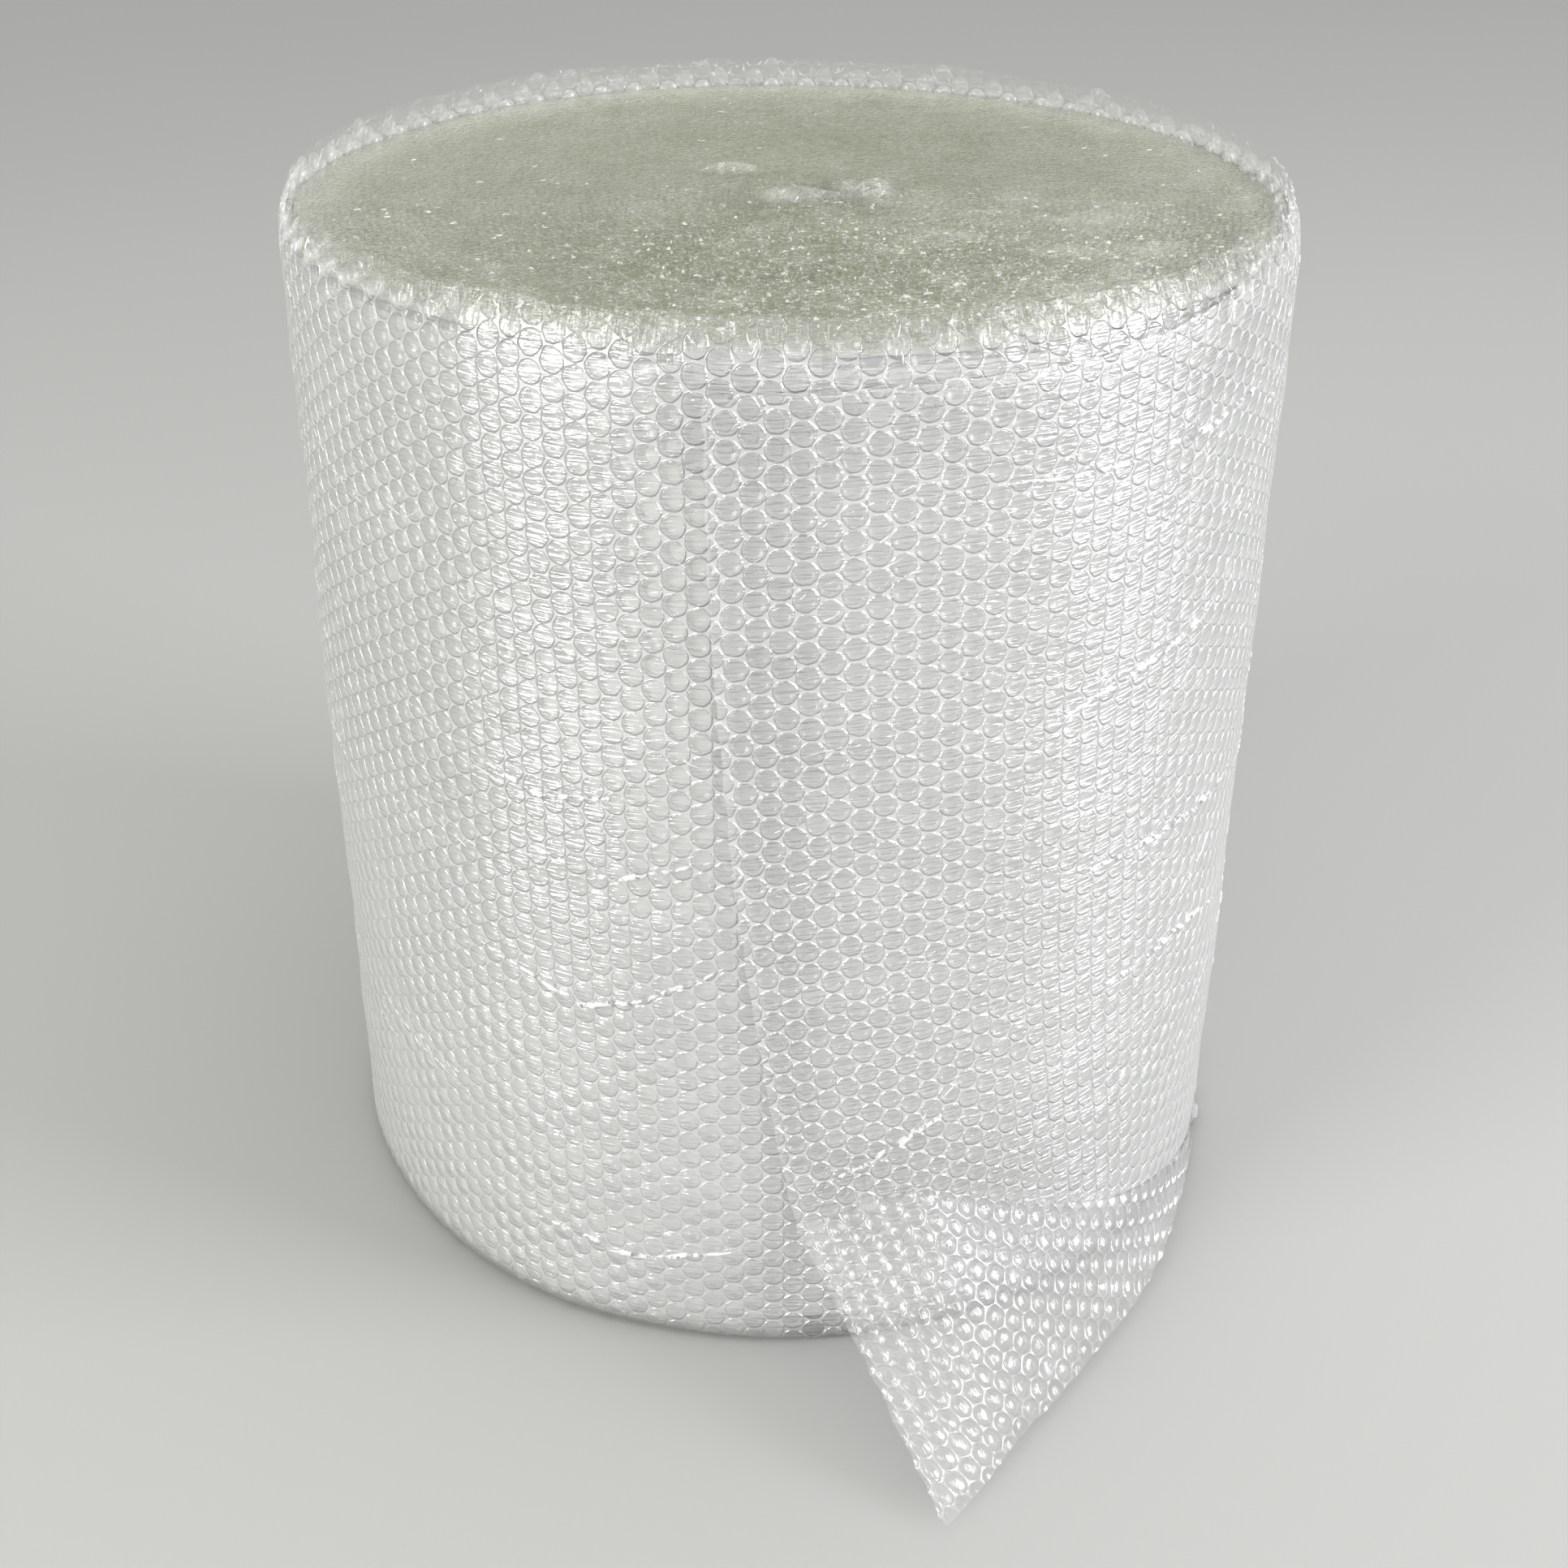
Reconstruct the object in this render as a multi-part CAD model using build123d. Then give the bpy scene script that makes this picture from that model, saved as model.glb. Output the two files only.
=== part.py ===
from build123d import *
import math
import os

# Roll of clear bubble film standing on its end, in millimetres, +Z up.
# The origin is on the roll's axis, on the surface it stands on.
# Angles run counter-clockwise seen from above, from the front (-Y) towards +X.

# wound roll
roll_radius = 228.0
roll_height = 500.0
top_shoulder = 9.0
base_shoulder = 8.0

# top end: the outer few turns stand above the rest as a narrow rim
rim_flat = 2.5
rim_rise = 16.0
rim_slope = 1.5
rim_lip = 1.0
rim_root = 3.0

# outermost turn, one layer of film that starts thin and ends in the full step of the cut end
film_thickness = 3.0
turn_start = 0.8
film_root = 4.0
film_foot = 2.0
selvedge_drop = 7.0
selvedge_tilt = 7.2
spiral_steps = 24

# cut end of the film, leaning down the front of the roll
seam_top_angle = -8.0
seam_foot_angle = 2.0
seam_foot_height = 67.0

# loose lower corner of the film, between its bend on the roll and its edge on the floor
corner_thickness = 4.0
corner_seat = 4.0
bend_angles = (seam_foot_angle, 17.0, 33.0, 48.0, 60.0)
bend_heights = (seam_foot_height, 92.0, 58.0, 32.0, 17.0)
edge_angles = (11.2, 20.2, 31.2, 42.7, 55.4)
edge_reaches = (118.6, 83.3, 55.0, 36.4, 17.6)
tuck_angle = 74.0
tuck_depth = 6.0


def on_plan(radius, angle, height=0.0):
    """Point at a radius and an angle from the front, at a height."""
    turn = math.radians(angle)
    return Vector(radius * math.sin(turn), -radius * math.cos(turn), height)


def wound_body():
    """All the turns under the outermost one, as one turned solid."""
    rim_inside = roll_radius - top_shoulder - rim_flat
    face_height = roll_height - rim_rise
    corners = [
        (0.0, 0.0),
        (roll_radius, 0.0),
        (roll_radius, roll_height),
        (rim_inside, roll_height),
        (rim_inside - rim_slope, face_height),
        (0.0, face_height),
    ]
    section = make_face(Plane.XZ * Polyline(*corners, close=True))
    radii = {1: base_shoulder, 2: top_shoulder, 3: rim_lip, 4: rim_root}
    for index, radius in radii.items():
        reach, height = corners[index]
        corner = section.vertices().sort_by_distance((reach, 0.0, height))[0]
        section = fillet(corner, radius)
    return revolve(section, Axis.Z)


def spiral_outline():
    """Outside of the outermost turn: proud by one more film at the cut end than a turn later."""
    points = []
    for step in range(spiral_steps + 1):
        share = step / spiral_steps
        radius = roll_radius + turn_start + film_thickness * (1.0 - share)
        points.append(on_plan(radius, seam_top_angle + 360.0 * share))
    return make_face([Spline(*points), Line(points[-1], points[0])])


def outer_turn():
    """The outermost turn, with its skewed upper edge and its leaning cut end."""
    height = roll_height - selvedge_drop - film_foot
    turn = Pos(0, 0, film_foot) * extrude(spiral_outline(), height)
    turn -= Cylinder(roll_radius - film_root, 2 * roll_height)
    low_side = on_plan(1.0, seam_top_angle)
    tilt = math.radians(selvedge_tilt)
    slant = Vector(0, 0, math.cos(tilt)) + low_side * math.sin(tilt)
    selvedge = Plane(origin=(0, 0, roll_height), z_dir=slant)
    turn = split(turn, bisect_by=selvedge, keep=Keep.BOTTOM)
    return turn - seam_wedge()


def seam_wedge():
    """What the leaning cut end leaves bare: a sliver of layer beside the straight step."""
    reach = roll_radius + turn_start + 2 * film_thickness
    head = on_plan(reach, seam_top_angle)
    foot = on_plan(reach, seam_foot_angle)
    outline = [
        (head.X, roll_height),
        (foot.X, seam_foot_height),
        (foot.X, -film_thickness),
        (head.X - film_thickness, -film_thickness),
        (head.X - film_thickness, roll_height),
    ]
    sliver = extrude(make_face(Plane.XZ * Polyline(*outline, close=True)), reach)
    return sliver - Cylinder(roll_radius + turn_start, 3 * roll_height)


def corner_section(bend, edge):
    """Upright slice through the loose corner, from the roll out to the floor."""
    run = Vector(bend.X - edge.X, bend.Y - edge.Y, 0.0)
    steepness = math.hypot(run.length, bend.Z) / bend.Z
    flatness = math.hypot(run.length, bend.Z) / run.length
    inner_edge = edge + run.normalized() * min(corner_thickness * steepness, 0.8 * run.length)
    inner_bend = bend - Vector(0, 0, min(corner_thickness * flatness, 0.8 * bend.Z))
    return make_face(Polyline(bend, edge, inner_edge, inner_bend, close=True))


def loose_corner():
    """The lower corner of the film, lifted off the roll and lying on the floor."""
    seat_radius = roll_radius - corner_seat
    sections = []
    for bend_angle, height, edge_angle, reach in zip(bend_angles, bend_heights, edge_angles, edge_reaches):
        bend = on_plan(seat_radius, bend_angle, height)
        edge = on_plan(roll_radius + reach, edge_angle)
        sections.append(corner_section(bend, edge))
    tuck_radius = roll_radius - tuck_depth
    bend = on_plan(tuck_radius - tuck_depth, tuck_angle, 2 * corner_thickness)
    edge = on_plan(tuck_radius, tuck_angle)
    sections.append(corner_section(bend, edge))
    return loft(sections)


roll = wound_body() + outer_turn() + loose_corner()

os.makedirs("parts", exist_ok=True)
export_step(roll, "parts/bubble_wrap_roll.step")
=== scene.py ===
import math

import bpy
import numpy as np
from mathutils import Matrix, Vector


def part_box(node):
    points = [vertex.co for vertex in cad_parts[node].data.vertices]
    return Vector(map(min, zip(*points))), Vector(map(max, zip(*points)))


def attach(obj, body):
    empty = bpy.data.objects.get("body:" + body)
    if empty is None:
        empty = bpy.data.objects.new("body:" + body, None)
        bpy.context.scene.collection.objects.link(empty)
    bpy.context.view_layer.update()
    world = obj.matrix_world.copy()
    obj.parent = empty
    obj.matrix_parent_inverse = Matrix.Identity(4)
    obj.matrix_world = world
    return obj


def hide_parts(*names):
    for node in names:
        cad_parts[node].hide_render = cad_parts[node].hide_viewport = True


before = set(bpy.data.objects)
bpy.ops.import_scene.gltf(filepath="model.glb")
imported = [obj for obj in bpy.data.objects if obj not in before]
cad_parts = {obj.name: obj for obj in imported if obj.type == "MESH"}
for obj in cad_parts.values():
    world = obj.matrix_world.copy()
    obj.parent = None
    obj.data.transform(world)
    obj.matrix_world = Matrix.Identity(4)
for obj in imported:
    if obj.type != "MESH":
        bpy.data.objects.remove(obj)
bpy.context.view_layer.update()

low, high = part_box("bubble_wrap_roll")
rollRadius = high.x              # outside of the outermost turn at the front
rollHeight = high.z
tipReach = -low.y                # how far the loose corner's tip lies in front of the axis

# the web of film: u runs along it from the cut end, v across it from its lower edge
web = {
    "width": rollHeight,
    "pitch": 0.0110,             # from bubble to bubble along a column
    "bubble": 0.0102,            # diameter where a bubble is sealed to the flat film
    "depth": 0.0037,             # bubbles stand this far in towards the roll
    "turn": 0.0033,              # one turn of film, pressed
    "seamTop": -8.0,             # degrees from the front, at the cut end's upper corner
    "seamLean": 10.0,            # degrees that the cut end leans over down the roll
    "leanPower": 2.2,
    "leanFade": 0.50,            # the lean dies out this far along the film
    "slack": 0.013,              # how far the lower corner has slipped down
    "slackFade": 0.10,
    "seal": 0.0046,              # a bubble's centre is at least this far from the film's edge
    "foot": 0.005,               # radius of the rounded lower edge
    "clear": 0.0008,             # nothing of the film lies lower than this on the floor
}
web["columnStep"] = web["pitch"] * math.sqrt(3) / 2
web["around"] = 2 * math.pi * (rollRadius - web["turn"] / 2)

# upper edge of the outermost turn: distance along the film, height over the floor
selvedge = ((0.0, 0.4705), (0.04, 0.4735), (0.09, 0.4755), (0.165, 0.4775), (0.214, 0.482),
            (0.24, 0.487), (0.275, 0.492), (0.31, 0.496), (0.45, 0.4975), (1.40, 0.4985), (1.9, 0.499))

# loose corner: distance along the film, height of its bend on the roll, and where its edge
# lies on the floor, as an angle from the front and a share of the tip's reach from the axis
corner = {
    "bend": ((0.0, 0.067), (0.03, 0.083), (0.063, 0.090), (0.095, 0.076), (0.126, 0.060),
             (0.185, 0.035), (0.24, 0.018), (0.30, 0.006), (0.345, 0.0015)),
    "edge": ((0.0, 11.2, 1.042), (0.063, 20.2, 0.914), (0.126, 31.2, 0.830), (0.185, 42.7, 0.776),
             (0.24, 55.4, 0.722), (0.300, 68.0, 0.690), (0.345, 76.0, 0.681)),
    "end": 0.345,
    "lift": 0.0047,              # the bubbles under the edge hold the film off the floor
    "bow": 0.003,                # it bulges this much between the bend and the edge
    "ripple": 0.0016,
}


def waves(seed, points, count, longest, shortest, stretch=(1.0, 1.0)):
    # smooth seeded noise over a plane, about -1 to 1: a sum of sine waves
    rng = np.random.default_rng(seed)
    total = np.zeros(len(points))
    for _ in range(count):
        size = math.exp(rng.uniform(math.log(shortest), math.log(longest)))
        turn = rng.uniform(0, 2 * math.pi)
        way = np.array([math.cos(turn) * stretch[0], math.sin(turn) * stretch[1]])
        total += np.sin(points @ way * (2 * math.pi / size) + rng.uniform(0, 2 * math.pi))
    return total / math.sqrt(count) * 0.7


def smooth(t):
    t = np.clip(t, 0, 1)
    return t * t * (3 - 2 * t)


def curve(points, x, column=1):
    # a soft curve through a few chosen points: straight runs, rounded at the corners
    table = np.array(points, float)
    shifts = np.linspace(-0.012, 0.012, 5)
    return np.mean([np.interp(x + d, table[:, 0], table[:, column]) for d in shifts], axis=0)


def rounded(beyond, radius):
    # how far a rounded edge falls back, a distance past the point where the rounding starts
    share = np.clip(beyond / radius, 0, 0.995)
    return radius * (1 - np.sqrt(1 - share * share))


def makeMesh(name, points, faces, smoothShade=True, fields=None):
    # points as an array, faces as a list of integer arrays, each of one polygon size
    mesh = bpy.data.meshes.new(name)
    mesh.vertices.add(len(points))
    mesh.vertices.foreach_set("co", np.asarray(points, np.float32).ravel())
    corners = np.concatenate([f.ravel() for f in faces]).astype(np.int32)
    sizes = np.concatenate([np.full(len(f), f.shape[1]) for f in faces])
    mesh.loops.add(len(corners))
    mesh.loops.foreach_set("vertex_index", corners)
    mesh.polygons.add(len(sizes))
    mesh.polygons.foreach_set("loop_start", np.concatenate([[0], np.cumsum(sizes)[:-1]]).astype(np.int32))
    mesh.update(calc_edges=True)
    mesh.polygons.foreach_set("use_smooth", np.full(len(sizes), smoothShade))
    for field, values in (fields or {}).items():
        values = np.asarray(values, np.float32)
        kind = "FLOAT_VECTOR" if values.ndim == 2 else "FLOAT"
        key = "vector" if values.ndim == 2 else "value"
        mesh.attributes.new(field, kind, "POINT").data.foreach_set(key, values.ravel())
    mesh.validate()
    piece = bpy.data.objects.new(name, mesh)
    bpy.context.scene.collection.objects.link(piece)
    return piece


def gridFaces(across, up, start=0):
    # quads over a grid of points stored row by row, "across" points in each row
    i, j = np.meshgrid(np.arange(across - 1), np.arange(up - 1))
    a = (start + j * across + i).ravel()
    return np.stack([a, a + 1, a + 1 + across, a + across], 1)


def bubbleGap(u, v):
    # distance from the nearest bubble's centre, in film coordinates
    step, pitch = 2 * web["columnStep"], web["pitch"]
    gaps = [np.hypot(((u / step + shift) % 1 - 0.5) * step, ((v / pitch + shift) % 1 - 0.5) * pitch)
            for shift in (0.0, 0.5)]
    return np.minimum(gaps[0], gaps[1])


def settle(piece, material):
    # every piece rides on the roll's one body and stands for its one node
    piece.data.materials.append(material)
    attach(piece, "root")
    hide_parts("bubble_wrap_roll")
    return piece


class Wire:
    # a socket that can be used in sums
    def __init__(self, shade, socket):
        self.shade, self.socket = shade, socket

    def sum(self, operation, first, second=None):
        values = {0: first} if second is None else {0: first, 1: second}
        return self.shade.node("ShaderNodeMath", {"operation": operation}, values)[0]

    def __add__(self, other):
        return self.sum("ADD", self, other)

    def __sub__(self, other):
        return self.sum("SUBTRACT", self, other)

    def __rsub__(self, other):
        return self.sum("SUBTRACT", other, self)

    def __mul__(self, other):
        return self.sum("MULTIPLY", self, other)

    def __truediv__(self, other):
        return self.sum("DIVIDE", self, other)

    def maths(self, operation, other=None):
        return self.sum(operation, self, other)


class Outputs:
    def __init__(self, shade, node):
        self.shade, self.made = shade, node

    def __getitem__(self, key):
        return Wire(self.shade, self.made.outputs[key])


class Shade:
    # a material, or the room around the roll, under construction
    def __init__(self, owner):
        self.owner = owner if hasattr(owner, "use_nodes") else bpy.data.materials.new(owner)
        self.owner.use_nodes = True
        self.tree = self.owner.node_tree
        self.tree.nodes.clear()

    def node(self, kind, settings=None, values=None):
        made = self.tree.nodes.new(kind)
        for key, value in (settings or {}).items():
            if key == "stops":
                self.stops(made.color_ramp, value)
            else:
                setattr(made, key, value)
        for key, value in (values or {}).items():
            if isinstance(value, Wire):
                self.tree.links.new(value.socket, made.inputs[key])
            else:
                made.inputs[key].default_value = value
        return Outputs(self, made)

    def stops(self, ramp, stops):
        while len(ramp.elements) < len(stops):
            ramp.elements.new(0.5)
        for element, (place, colour) in zip(ramp.elements, stops):
            element.position = place
            element.color = (*colour, 1.0) if hasattr(colour, "__len__") else (colour, colour, colour, 1.0)

    def field(self, name, output="Fac"):
        return self.node("ShaderNodeAttribute", {"attribute_name": name})[output]

    def ramp(self, fac, low, high, atLow=0.0, atHigh=1.0):
        settings = {"interpolation_type": "SMOOTHSTEP"}
        values = {"Value": fac, "From Min": low, "From Max": high, "To Min": atLow, "To Max": atHigh}
        return self.node("ShaderNodeMapRange", settings, values)[0]

    def blend(self, fac, first, second):
        # colours 6 and 7 are the colour sockets of a Mix node
        return self.node("ShaderNodeMix", {"data_type": "RGBA"}, {0: fac, 6: first, 7: second})[2]

    def noise(self, where, scale, detail=2.0, rough=0.5, warp=0.0, sides="3D"):
        values = {"Vector": where, "Scale": scale, "Detail": detail, "Roughness": rough, "Distortion": warp}
        return self.node("ShaderNodeTexNoise", {"noise_dimensions": sides}, values)["Fac"]

    def stretch(self, where, size):
        return self.node("ShaderNodeMapping", {}, {"Vector": where, "Scale": size})[0]

    def bump(self, height, strength, distance):
        values = {"Height": height, "Strength": strength, "Distance": distance}
        return self.node("ShaderNodeBump", {}, values)[0]

    def finish(self, surface):
        self.node("ShaderNodeOutputMaterial", {}, {"Surface": surface})
        return self.owner


def bubbleDistance(shade, place):
    # distance from the nearest bubble's centre, in metres, in film coordinates
    parts = shade.node("ShaderNodeSeparateXYZ", {}, {0: place})
    u, v = parts[0], parts[1]
    step, pitch = 2 * web["columnStep"], web["pitch"]
    found = []
    for shift in (0.0, 0.5):
        du = ((u / step + shift).maths("FRACT") - 0.5).maths("ABSOLUTE") * step
        dv = ((v / pitch + shift).maths("FRACT") - 0.5).maths("ABSOLUTE") * pitch
        found.append((du * du + dv * dv).maths("SQRT"))
    return found[0].maths("MINIMUM", found[1])


def filmMaterial(name, look):
    # the smooth outer face: clear over each bubble, milkier where the two films are sealed
    shade = Shade(name)
    place = shade.field("place", "Vector")
    thin, calm = shade.field("thin"), shade.field("calm")
    gap = bubbleDistance(shade, place) + (shade.noise(place, 260.0, 1.0, sides="2D") - 0.5) * 0.0012
    window = shade.ramp(gap, web["bubble"] * 0.54, web["bubble"] * 0.44)
    fine = shade.noise(shade.stretch(place, look["grain"]), 520.0, 1.5, 0.55, 0.5, "2D")
    upright = shade.noise(shade.stretch(place, (1.0, 0.3, 1.0)), 420.0, 1.0, 0.55, 0.0, "2D")
    broad = shade.noise(shade.stretch(place, (0.4, 1.0, 1.0)), 75.0, 1.0, 0.55, 0.4, "2D")
    lying = 1.0 - thin * 0.6
    height = (fine * lying + upright * (1.0 - lying)) * (window * 0.7 + 0.3) + broad * 0.6 + window * 0.35
    dome = shade.ramp(gap, web["bubble"] * 0.52, 0.0)
    soft = shade.ramp(shade.noise(place, 34.0, 1.0, sides="2D"), 0.35, 0.65, 0.25, 0.85)
    normal = shade.bump(height * (1.0 - calm * 0.6) * look["wrinkle"] + dome * calm * soft, 1.0, 0.0013)
    tone = shade.blend(window * (1.0 - calm * 0.6), look["sealedColour"], look["windowColour"])
    tone = shade.blend(thin * look["thinning"] * 0.8, tone, (0.60, 0.61, 0.55, 1.0))
    surface = shade.node("ShaderNodeBsdfPrincipled", {}, {
        "Base Color": tone, "Roughness": look["roughness"], "IOR": look["ior"],
        "Specular IOR Level": 1.0, "Normal": normal})[0]
    clear = shade.node("ShaderNodeBsdfTransparent", {}, {"Color": (1.0, 1.0, 1.0, 1.0)})[0]
    cover = look["sealed"] - window * (look["sealed"] - look["window"]) * (1.0 - calm * 0.6)
    cover = cover * (1.0 - thin * look["thinning"])
    return shade.finish(shade.node("ShaderNodeMixShader", {}, {0: cover, 1: clear, 2: surface})[0])


filmLooks = {
    "woundFilm": {
        "sealed": 0.72, "window": 0.42, "roughness": 0.2, "ior": 3.0,
        "wrinkle": 1.0, "thinning": 0.84, "grain": (0.17, 1.25, 1.0),
        "sealedColour": (0.97, 0.975, 0.97, 1.0), "windowColour": (0.95, 0.955, 0.94, 1.0)},
    "looseFilm": {
        "sealed": 0.30, "window": 0.15, "roughness": 0.14, "ior": 2.5,
        "wrinkle": 0.22, "thinning": 0.35, "grain": (1.05, 0.42, 1.0),
        "sealedColour": (0.92, 0.925, 0.92, 1.0), "windowColour": (0.80, 0.805, 0.80, 1.0)},
    "coreFilm": {
        "sealed": 0.34, "window": 0.22, "roughness": 0.15, "ior": 2.6,
        "wrinkle": 1.0, "thinning": 1.0, "grain": (0.8, 0.8, 1.0),
        "sealedColour": (0.86, 0.87, 0.82, 1.0), "windowColour": (0.74, 0.75, 0.69, 1.0)},
    "rimFilm": {
        "sealed": 0.14, "window": 0.07, "roughness": 0.2, "ior": 2.3,
        "wrinkle": 1.0, "thinning": 0.0, "grain": (0.8, 0.5, 1.0),
        "sealedColour": (0.66, 0.67, 0.62, 1.0), "windowColour": (0.56, 0.57, 0.52, 1.0)},
}


def cupMaterial(name, look):
    # the bubbles: steep walls painted brighter and more opaque as a painted sheen, dimmer and clearer ends
    shade = Shade(name)
    depth = shade.field("depth")
    thin = shade.field("thin")
    # the walls' whiter colour and higher cover are painted sheen: the stronger reflection off steep film seen
    # at a slant
    wall = shade.ramp(depth, 0.98, 0.72)
    colour = shade.blend(wall, look["endColour"], look["wallColour"])
    cover = (wall * (look["wall"] - look["end"]) + look["end"]) * (1.0 - thin * 0.82)
    surface = shade.node("ShaderNodeBsdfPrincipled", {}, {
        "Base Color": colour, "Roughness": 0.18, "IOR": 1.9, "Specular IOR Level": 1.0})[0]
    clear = shade.node("ShaderNodeBsdfTransparent", {}, {"Color": (1.0, 1.0, 1.0, 1.0)})[0]
    return shade.finish(shade.node("ShaderNodeMixShader", {}, {0: cover, 1: clear, 2: surface})[0])


cupLooks = {
    "woundBubbles": {
        "wall": 0.50, "wallColour": (0.95, 0.955, 0.945, 1.0),
        "end": 0.45, "endColour": (0.90, 0.905, 0.885, 1.0)},
    "looseBubbles": {
        "wall": 0.42, "wallColour": (0.88, 0.885, 0.88, 1.0),
        "end": 0.20, "endColour": (0.74, 0.75, 0.74, 1.0)},
    "rimBubbles": {
        "wall": 0.20, "wallColour": (0.62, 0.63, 0.58, 1.0),
        "end": 0.10, "endColour": (0.48, 0.49, 0.44, 1.0)},
}


def innerTurnMaterial():
    # the turn beneath, seen through the first: its own bubbles a little out of step
    shade = Shade("innerTurns")
    place = shade.field("place", "Vector")
    gap = bubbleDistance(shade, place)
    ring = shade.ramp((gap - web["bubble"] * 0.44).maths("ABSOLUTE"), 0.0014, 0.0002)
    cloud = shade.noise(place, 14.0, 3.0, 0.5)
    tone = shade.blend(ring * 0.7, (0.90, 0.905, 0.89, 1.0), (0.97, 0.97, 0.96, 1.0))
    tone = shade.blend(cloud * 0.3, tone, (0.94, 0.94, 0.925, 1.0))
    return shade.finish(shade.node("ShaderNodeBsdfPrincipled", {}, {
        "Base Color": tone, "Roughness": 0.45, "Specular IOR Level": 0.4})[0])


def endFilmMaterial(name, cover):
    # the ends: foggy, slightly green where many layers lie together, with see-through film edges on top, and
    # painted glints as small white flecks
    shade = Shade(name)
    where = shade.node("ShaderNodeTexCoord")["Object"]
    fleck = shade.noise(where, 900.0, 1.0, 0.6)
    cloud = shade.noise(where, 12.0, 1.0, 0.5)
    pale, lively = shade.field("pale"), shade.field("lively")
    tone = shade.blend(cloud, (0.262, 0.273, 0.198, 1.0), (0.300, 0.308, 0.228, 1.0))
    # painted glints: small white flecks, most of them towards the front
    paintedGlints = shade.ramp(shade.noise(where, 400.0, 1.0, 0.5, 1.2), 0.62, 0.69) * (lively * 0.9 + 0.1)
    # paler flecks towards the front are painted sparkle, added to the pale field
    paleAndPaintedSparkle = shade.ramp(fleck, 0.50, 0.75) * lively * 0.25 + pale * 0.6
    tone = shade.blend(paleAndPaintedSparkle, tone, (0.80, 0.81, 0.74, 1.0))
    tone = shade.blend(paintedGlints * 0.8, tone, (0.95, 0.96, 0.93, 1.0))
    normal = shade.bump(shade.noise(where, 480.0, 1.0, 0.6), 0.9, 0.0014)
    surface = shade.node("ShaderNodeBsdfPrincipled", {}, {
        "Base Color": tone, "Roughness": 0.18, "Specular IOR Level": 1.0, "IOR": 1.6, "Normal": normal})[0]
    if cover == 1.0:
        return shade.finish(surface)
    clear = shade.node("ShaderNodeBsdfTransparent", {}, {"Color": (1.0, 1.0, 1.0, 1.0)})[0]
    part = shade.ramp(fleck, 0.35, 0.65, cover * 0.6, cover * 1.4) * (lively * 0.7 + 0.3)
    return shade.finish(shade.node("ShaderNodeMixShader", {}, {0: part, 1: clear, 2: surface})[0])


def creaseMaterial(name, least, most):
    # pulled creases and film edges: doubled film that catches the light
    shade = Shade(name)
    where = shade.node("ShaderNodeTexCoord")["Object"]
    broken = shade.ramp(shade.noise(where, 210.0, 2.0, 0.6), 0.44, 0.60, least, most)
    surface = shade.node("ShaderNodeBsdfPrincipled", {}, {
        "Base Color": (0.96, 0.96, 0.95, 1.0), "Roughness": 0.16, "IOR": 1.5, "Specular IOR Level": 0.9})[0]
    clear = shade.node("ShaderNodeBsdfTransparent", {}, {"Color": (1.0, 1.0, 1.0, 1.0)})[0]
    return shade.finish(shade.node("ShaderNodeMixShader", {}, {0: broken, 1: clear, 2: surface})[0])


def bendAcross(u):
    # film coordinate v of the loose corner's bend on the roll
    slipped = web["slack"] * np.exp(-u / web["slackFade"])
    return curve(corner["bend"], u) + web["width"] - curve(selvedge, u) + slipped


def topLean(sheet, lean=0.010):
    # the film is loose over the end: it leans in and gathers in upright wrinkles
    above = np.clip((sheet[:, 1] - (rollHeight - 0.032)) / 0.032, 0, 1.05)
    gather = np.clip(waves(17, sheet, 10, 0.045, 0.011, (1.0, 0.25)) + 0.3, 0, 1.6)
    crumple = waves(18, sheet, 12, 0.011, 0.005)
    return lean * above ** 2.4 + (0.0018 * gather + 0.0006 * crumple) * smooth(above * 1.2)


def onRoll(u, v, inset=0.0):
    # the film where it lies on the roll
    z = v - (web["width"] - curve(selvedge, u))
    z = z - web["slack"] * np.exp(-u / web["slackFade"]) * np.clip(1 - v / web["width"], 0, 1)
    fall = np.clip((rollHeight - z) / (rollHeight - corner["bend"][0][1]), 0, 1.1)
    lean = web["seamLean"] * fall ** web["leanPower"] * np.exp(-np.clip(u, 0, 9) / web["leanFade"])
    angle = np.radians(web["seamTop"] + lean) + u / (rollRadius - web["turn"] / 2)
    sheet = np.stack([u, z], 1)
    uneven = 0.0008 * waves(11, sheet, 7, 0.45, 0.12) + 0.0005 * waves(12, sheet, 9, 0.10, 0.03, (0.35, 1.0))
    r = rollRadius - web["turn"] * u / web["around"] - 0.0012 + np.clip(uneven, -0.0016, 0.0011) - inset
    r = r - topLean(sheet, 0.0065 + 0.0035 * np.cos(angle))
    r = r - rounded(web["foot"] - z, web["foot"])
    return np.stack([r * np.sin(angle), -r * np.cos(angle), np.maximum(z, web["clear"])], 1)


def cornerEdge(u):
    angle = np.radians(curve(corner["edge"], u))
    r = curve(corner["edge"], u, 2) * (tipReach - 0.004)
    return np.stack([r * np.sin(angle), -r * np.cos(angle), np.full(len(u), corner["lift"])], 1)


def cornerDrop(u):
    # length of the film from the bend to the edge on the floor
    return np.linalg.norm(cornerEdge(u) - onRoll(u, bendAcross(u)), axis=1)


def lowEdge(u):
    # film coordinate v of the film's lower edge
    return np.where(u < corner["end"], bendAcross(u) - cornerDrop(u), web["width"] - curve(selvedge, u))


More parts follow.
